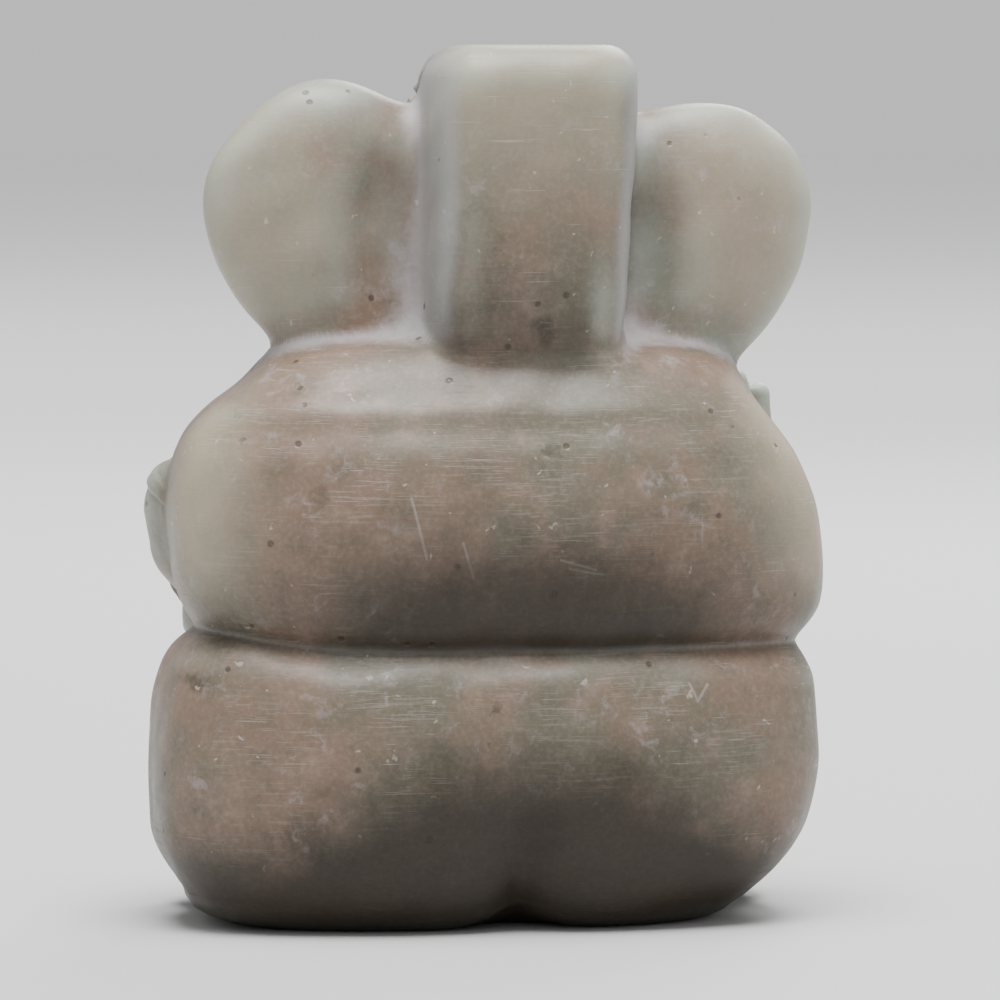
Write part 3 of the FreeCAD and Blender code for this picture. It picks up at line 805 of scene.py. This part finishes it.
def painted_pale_light(y, z, off_middle, sideways):
    """How much painted pale light there is: the outer ears, the shoulders where they face sideways, and the crown's
    top.
    """
    behind = ramp(y, 2.0, 10.0)
    ears = 0.34 * ramp(off_middle, 13.0, 19.0) * ramp(z, 50.0, 55.0)
    shoulders = 0.6 * ramp(sideways, 0.3, 0.85) * ramp(z, 26.0, 32.0) * ramp(z, 50.0, 46.0) * behind
    crown = 0.45 * ramp(z, 57.0, 72.0) * ramp(off_middle, 10.0, 8.0) * behind
    return ears + shoulders + crown


def masks(p, facing, whole):
    """Where painted light comes through a rim, chalk or painted shade lies in a crease, and brown shade or pale light
    is painted.

    The mean of the field on a small ball round a point is above 0 on an edge and below 0 in a crease.
    The field at a fixed depth under the skin tells a thin lobe from a thick block.
    """
    corners = np.concatenate([CORNERS, -CORNERS]) * PROBE
    bend = sum(whole(p + corner) for corner in corners) / (len(corners) * PROBE)
    through = 1.0 + whole(p - facing * DEPTH) / DEPTH
    x, y, z = p.T
    off_middle, sideways = np.abs(x - MIDDLE), np.abs(facing[:, 0])
    front = 1.0 - 0.5 * ramp(y, -4.0, -8.0)
    nape = ramp(off_middle, 11.0, 7.0) * ramp(z, 52.0, 49.0)
    crown_side = ramp(off_middle, 12.5, 11.0) * ramp(z, 49.0, 52.0) * ramp(y, -2, 2)
    return {
        "edge": np.clip(bend, 0, 1) * front,
        "crease": np.clip(-bend, 0, 1),
        "thin": np.clip(through, 0, 1) * front,
        "painted_shade": painted_shade_at(y, z, off_middle),
        "dust": ramp(facing[:, 2], -0.3, 0.5) * ramp(z, 40.0, 47.0) * (1.0 - 0.75 * nape),
        "flank": ramp(sideways, 0.4, 0.9) * crown_side,
        "pale": painted_pale_light(y, z, off_middle, sideways),
    }


# ------------------------------------------------------------------ stone
class Tone:
    """A number or colour that changes over the surface. Arithmetic on it adds Math nodes."""

    def __init__(self, paint, socket):
        self.paint, self.socket = paint, socket

    def __add__(self, other):
        return self.paint.math("ADD", self, other)

    def __sub__(self, other):
        return self.paint.math("SUBTRACT", self, other)

    def __mul__(self, other):
        return self.paint.math("MULTIPLY", self, other)

    def __rsub__(self, other):
        return self.paint.math("SUBTRACT", other, self)

    __radd__ = __add__
    __rmul__ = __mul__


class Paint:
    """A material being written: each call adds one node and gives back what comes out of it."""

    def __init__(self, name):
        self.material = bpy.data.materials.new(name)
        self.material.use_nodes = True
        self.tree = self.material.node_tree
        self.tree.nodes.clear()

    def node(self, kind, out=0, settings=None, **sockets):
        """A node of that kind: its settings first, then each socket's value or link, by name or number."""
        made = self.tree.nodes.new(kind)
        for setting, value in (settings or {}).items():
            setattr(made, setting, value)
        for name, value in sockets.items():
            key = int(name[1:]) if name[0] == "i" and name[1:].isdigit() else name.replace("_", " ")
            self.plug(made.inputs[key], value)
        return Tone(self, made.outputs[out])

    def plug(self, socket, value):
        """Links a tone to the socket, or sets the socket's own value."""
        if isinstance(value, Tone):
            self.tree.links.new(value.socket, socket)
        else:
            socket.default_value = value

    def math(self, operation, one, other):
        """One Math node on two numbers or tones."""
        return self.node("ShaderNodeMath", settings={"operation": operation}, i0=one, i1=other)

    def step(self, value, start, end):
        """0 before start, 1 past end, smooth between."""
        settings = {"interpolation_type": "SMOOTHSTEP"}
        return self.node("ShaderNodeMapRange", settings=settings, i0=value, i1=start, i2=end)

    def mix(self, share, under, over):
        """Two colours mixed."""
        settings = {"data_type": "RGBA", "clamp_factor": True}
        return self.node("ShaderNodeMix", out=2, settings=settings, i0=share, i6=under, i7=over)

    def vector(self, operation, one, other=(0.0, 0.0, 0.0), out=0, **sockets):
        """One Vector Math node on two places or ways."""
        return self.node("ShaderNodeVectorMath", out, {"operation": operation}, i0=one, i1=other, **sockets)

    def noise(self, place, size, detail, rough):
        """Cloudy noise about 0.5, with clumps of that size in millimetres."""
        return self.node("ShaderNodeTexNoise", Vector=place, Scale=1 / size, Detail=detail, Roughness=rough)

    def spot(self, place, x, z, radius):
        """1 at a place on the back, seen straight on, and 0 beyond its radius."""
        return self.step(self.vector("DISTANCE", place, (x, 0.0, z), out=1), radius, radius * 0.35)

    def score(self, place, start, end, width):
        """1 along a straight scratch from start to end on the back, and 0 at its width from it.

        The nearest point of the scratch is start plus the run times t, where t is the share of the run that
        the place has passed, held between 0 and 1.
        """
        run = (end[0] - start[0], 0.0, end[1] - start[1])
        size = run[0] ** 2 + run[2] ** 2
        since = self.vector("SUBTRACT", place, (start[0], 0.0, start[1]))
        passed = self.vector("DOT_PRODUCT", since, run, out=1)
        held = {"operation": "MULTIPLY", "use_clamp": True}
        share = self.node("ShaderNodeMath", settings=held, i0=passed, i1=1 / size)
        nearest = self.vector("SCALE", run, i3=share)
        return self.step(self.vector("DISTANCE", since, nearest, out=1), width, width * 0.3)

    def mask(self, name):
        """A mask that was worked out with the mesh."""
        return self.node("ShaderNodeAttribute", out=2, settings={"attribute_name": name})

    def finished(self, **sockets):
        """The material, with its surface from those sockets."""
        surface = self.node("ShaderNodeBsdfPrincipled", **sockets)
        output = self.tree.nodes.new("ShaderNodeOutputMaterial")
        self.plug(output.inputs["Surface"], surface)
        return self.material


def shade(red, green, blue):
    """A colour given as 0 to 255 on screen, as light."""
    light = [((c / 255 + 0.055) / 1.055) ** 2.4 if c > 10 else c / 255 / 12.92 for c in (red, green, blue)]
    return (*light, 1.0)


# Dark stains on the back: across, up, radius and strength.
STAINS = [
    (-3.3, 51.4, 1.7, 0.75), (-2.9, 41.5, 1.2, 0.5), (16.9, 37.6, 1.2, 0.3), (-4.5, 31.5, 4.0, 0.5),
    (27.0, 21.7, 1.3, 0.6), (23.0, 42.3, 0.55, 0.8), (23.2, 44.4, 0.5, 0.6), (-1.6, 8.4, 3.6, 0.8),
    (18.0, 8.4, 3.0, 0.5), (-17.0, 6.0, 3.6, 0.5), (2.0, 19.6, 1.1, 0.6), (2.9, 62.0, 1.4, 0.45),
]

# Longer scratches and chips on the back, each from one place to another, across and up.
SCORES = [
    ((9.2, 37.6), (7.9, 32.4)), ((4.8, 33.7), (3.9, 30.7)), ((-3.6, 32.2), (-6.7, 31.3)), ((-4.4, 31.4), (-7.4, 30.9)),
    ((-15.0, 21.4), (-15.7, 19.9)), ((-15.7, 19.9), (-16.6, 21.3)), ((12.0, 8.4), (11.4, 5.2)),
    ((-9.0, 27.6), (-13.6, 27.9)),
]
SCORE_WIDTH = 0.17
SCRATCHED = shade(186, 180, 172)


def scratches(paint, place, tilt, length, fineness, share):
    """Long thin marks that lie nearly level: noise drawn out along one way, and only its peaks kept."""
    turned = paint.node(
        "ShaderNodeMapping", settings={"vector_type": "POINT"}, Vector=place, Rotation=(0.0, math.radians(tilt), 0.0),
        Scale=(1 / length, 1 / length, fineness),
    )
    drawn = paint.node("ShaderNodeTexNoise", Vector=turned, Scale=1.0, Detail=2.0, Roughness=0.5)
    return paint.step(drawn, share, share + 0.05)


def carved_stone():
    """Hand-rubbed pinkish stone: clouds, greenish rims of painted light, chalk and painted shade in creases, stains,
    scratches.
    """
    paint = Paint("carved_stone")
    place = paint.node("ShaderNodeTexCoord", out=3)
    place = paint.vector("SCALE", place, i3=1 / MM)
    clouds = paint.noise(place, 13.0, 4.0, 0.6)
    mottle = paint.noise(place, 3.4, 5.0, 0.65)
    grain = paint.noise(place, 0.45, 4.0, 0.7)
    wander = paint.node("ShaderNodeTexNoise", out=1, Vector=place, Scale=0.6, Detail=3.0)
    shift = paint.vector("SCALE", paint.vector("SUBTRACT", wander, (0.5, 0.5, 0.5)), i3=3.0)
    loose = paint.vector("ADD", place, shift)
    flat = paint.vector("MULTIPLY", loose, (1.0, 0.0, 1.0))
    level = paint.vector("MULTIPLY", place, (1.0, 0.0, 1.0))
    behind = paint.step(paint.node("ShaderNodeSeparateXYZ", out=1, Vector=place), 2.0, 8.0)
    high = paint.step(paint.node("ShaderNodeSeparateXYZ", out=2, Vector=place), 46.0, 54.0)
    crease, dust, cut, pale = paint.mask("crease"), paint.mask("dust"), paint.mask("cut"), paint.mask("pale")
    patchy = paint.noise(loose, 2.0, 4.0, 0.7)

    # The block's own colour: pinkish and greenish clouds, darker and lighter mottling, and stains.
    body = paint.mix(paint.step(clouds, 0.4, 0.6), shade(113, 94, 80), shade(97, 91, 77))
    body = paint.mix(paint.step(mottle, 0.5, 0.74) * 0.6, body, shade(80, 77, 65))
    body = paint.mix(paint.step(mottle, 0.47, 0.3) * 0.4, body, shade(138, 116, 103))
    stain = 0.0
    for x, z, radius, strength in STAINS:
        stain = paint.math("MAXIMUM", paint.spot(flat, x, z, radius) * strength, stain)
    stain = stain * behind
    body = paint.mix(stain, body, shade(54, 49, 38))

    # Pale stone: painted light through the thin rims and on the edges, partly chalky dust, and on the ears, shoulders
    # and crown.
    rim = paint.step(paint.mask("edge") * 1.3 + paint.mask("thin") * 0.6 + clouds * 0.5, 0.38, 1.0)
    body = paint.mix(rim * 0.85, body, shade(166, 176, 165))
    body = paint.mix(pale, body, shade(172, 163, 141))
    # The crown's sides: a pale grey where they face sideways.
    body = paint.mix(paint.mask("flank") * 0.6, body, shade(152, 155, 156))

    # Chalk and powder that lie in creases above, and painted shade in those below and in the cuts.
    chalk = paint.step(crease * 2.6 * dust + patchy * 0.5, 0.36, 0.85)
    body = paint.mix(chalk * 0.75, body, shade(168, 163, 167))
    powder = paint.step(patchy, 0.54, 0.72) * paint.step(paint.noise(place, 8.0, 2.0, 0.5), 0.42, 0.62)
    body = paint.mix(powder * 0.4, body, shade(158, 152, 152))
    crease_shade = paint.step(crease * 2.4 * (1.0 - dust) + patchy * 0.3, 0.3, 0.9)
    body = paint.mix(crease_shade * 0.45, body, shade(62, 54, 46))
    body = paint.mix(cut * 0.62, body, shade(58, 48, 40))

    # Fine scratches in clusters, fewer on the ears and crown, and a few longer marks.
    fine = scratches(paint, place, 4.0, 5.0, 4.6, 0.61) + scratches(paint, place, -11.0, 3.6, 5.2, 0.62)
    fine = fine + scratches(paint, place, 33.0, 4.0, 4.4, 0.65)
    fine = fine * paint.step(paint.noise(place, 6.0, 2.0, 0.5), 0.38, 0.62) * (1.0 - 0.7 * high)
    body = paint.mix(fine * 0.11, body, SCRATCHED)
    marks = scratches(paint, place, 68.0, 6.0, 4.0, 0.7)
    for start, end in SCORES:
        marks = paint.math("MAXIMUM", paint.score(level, start, end, SCORE_WIDTH) * behind, marks)
    body = paint.mix(marks * 0.26, body, SCRATCHED)

    # Pale specks, dark pores, a fine grain, and last the painted brown shade low on the hips and torso and at the
    # nape.
    specks = paint.step(paint.node("ShaderNodeTexVoronoi", Vector=loose, Scale=0.42), 0.1, 0.05)
    body = paint.mix(specks * 0.45, body, shade(184, 178, 170))
    pores = paint.step(paint.node("ShaderNodeTexVoronoi", Vector=place, Scale=0.23), 0.09, 0.04)
    body = paint.mix(pores * 0.7, body, shade(46, 40, 32))
    body = paint.mix(paint.step(grain, 0.4, 0.8) * 0.14, body, shade(184, 174, 162))
    painted_shade = paint.step(paint.mask("painted_shade") + mottle * 0.3, 0.2, 1.05)
    body = paint.mix(painted_shade * (1.0 - 0.15 * grain), body, shade(34, 26, 15))

    rough = 0.36 + 0.28 * chalk + 0.14 * mottle + 0.2 * marks + 0.1 * fine
    height = grain * 0.25 + mottle * 0.6 - fine * 0.25 - marks * 0.5 - pores * 1.2 - stain * 0.8
    bump = paint.node("ShaderNodeBump", Height=height, Strength=0.5, Distance=0.00012)
    return paint.finished(
        Base_Color=body, Roughness=rough, Normal=bump, Subsurface_Weight=0.12, Subsurface_Radius=(1.0, 0.6, 0.45),
        Subsurface_Scale=0.0010, Specular_IOR_Level=0.32, Coat_Weight=0.07, Coat_Roughness=0.3,
    )


# ------------------------------------------------------------------ build
stone = carved_stone()
for node, skin in all_skins().items():
    piece = stone_piece(node, *skin)
    piece.data.materials.append(stone)
    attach(piece, ROOT)
    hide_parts(node)


# ------------------------------------------------------------------ floor, light and camera
FLOOR_REACH = 6.0
FLOOR_CORNERS = 96


def pale_floor():
    """A pale disc far wider than the idol, with painted shade round the idol: its rim is the cosine and sine of even
    turns.
    """
    turn = np.linspace(0, 2 * math.pi, FLOOR_CORNERS + 1)[:-1]
    rim = FLOOR_REACH * np.stack([np.cos(turn), np.sin(turn), 0 * turn], 1)
    mesh = bpy.data.meshes.new("floor")
    mesh.from_pydata(rim.tolist(), [], [list(range(FLOOR_CORNERS))])
    floor = bpy.data.objects.new("floor", mesh)
    bpy.context.scene.collection.objects.link(floor)
    paint = Paint("pale_floor")
    place = paint.node("ShaderNodeTexCoord", out=3)
    # Painted shade on the floor: mid grey near the idol, paling to near white far off.
    far = paint.step(paint.vector("LENGTH", place, out=1), 0.15, 1.6)
    tone = paint.mix(far, (0.5, 0.5, 0.5, 1), (0.97, 0.97, 0.97, 1))
    mesh.materials.append(paint.finished(Base_Color=tone, Roughness=0.8))


def lamp(name, at, aim, size, power):
    """A square soft box that looks at a point."""
    light = bpy.data.lights.new(name, "AREA")
    light.size = size
    light.energy = power
    holder = bpy.data.objects.new(name, light)
    bpy.context.scene.collection.objects.link(holder)
    way = np.array(aim) - np.array(at)
    holder.location = at
    holder.rotation_euler = aim_turn(way)


def aim_turn(way):
    """The turn that points an object's own -Z along a direction, with its top upwards."""
    level = math.hypot(way[0], way[1])
    return (math.atan2(level, -way[2]), 0.0, math.atan2(-way[0], way[1]))


WORLD_LIGHT = 0.7


def studio():
    """White light from all round, a wide soft box above and behind, and a small one for the front."""
    world = bpy.data.worlds.new("studio")
    world.use_nodes = True
    world.node_tree.nodes["Background"].inputs["Color"].default_value = (1.0, 1.0, 1.0, 1.0)
    world.node_tree.nodes["Background"].inputs["Strength"].default_value = WORLD_LIGHT
    bpy.context.scene.world = world
    lamp("above", (0.02, 0.2, 1.5), (0, 0, 0.03), 1.0, 57.0)
    lamp("front", (-0.25, -0.45, 0.45), (0, 0, 0.03), 0.3, 3.0)


VIEW_TURN = math.radians(170.5)
VIEW_RISE = math.radians(3.5)
VIEW_FAR = 0.6
FRAME_WIDE = 0.0870
LOOK_AT = np.array([-0.0008, 0.004, 0.03645])


def camera():
    """A camera behind the idol, a little to its left and a little above."""
    lens = bpy.data.cameras.new("camera")
    lens.sensor_width = 36.0
    lens.lens = lens.sensor_width * VIEW_FAR / FRAME_WIDE
    lens.clip_start = 0.01
    eye = bpy.data.objects.new("camera", lens)
    bpy.context.scene.collection.objects.link(eye)
    back = np.array([
        math.sin(VIEW_TURN) * math.cos(VIEW_RISE), -math.cos(VIEW_TURN) * math.cos(VIEW_RISE), math.sin(VIEW_RISE)
    ])
    eye.location = LOOK_AT + VIEW_FAR * back
    eye.rotation_euler = aim_turn(-back)
    bpy.context.scene.camera = eye


pale_floor()
studio()
camera()
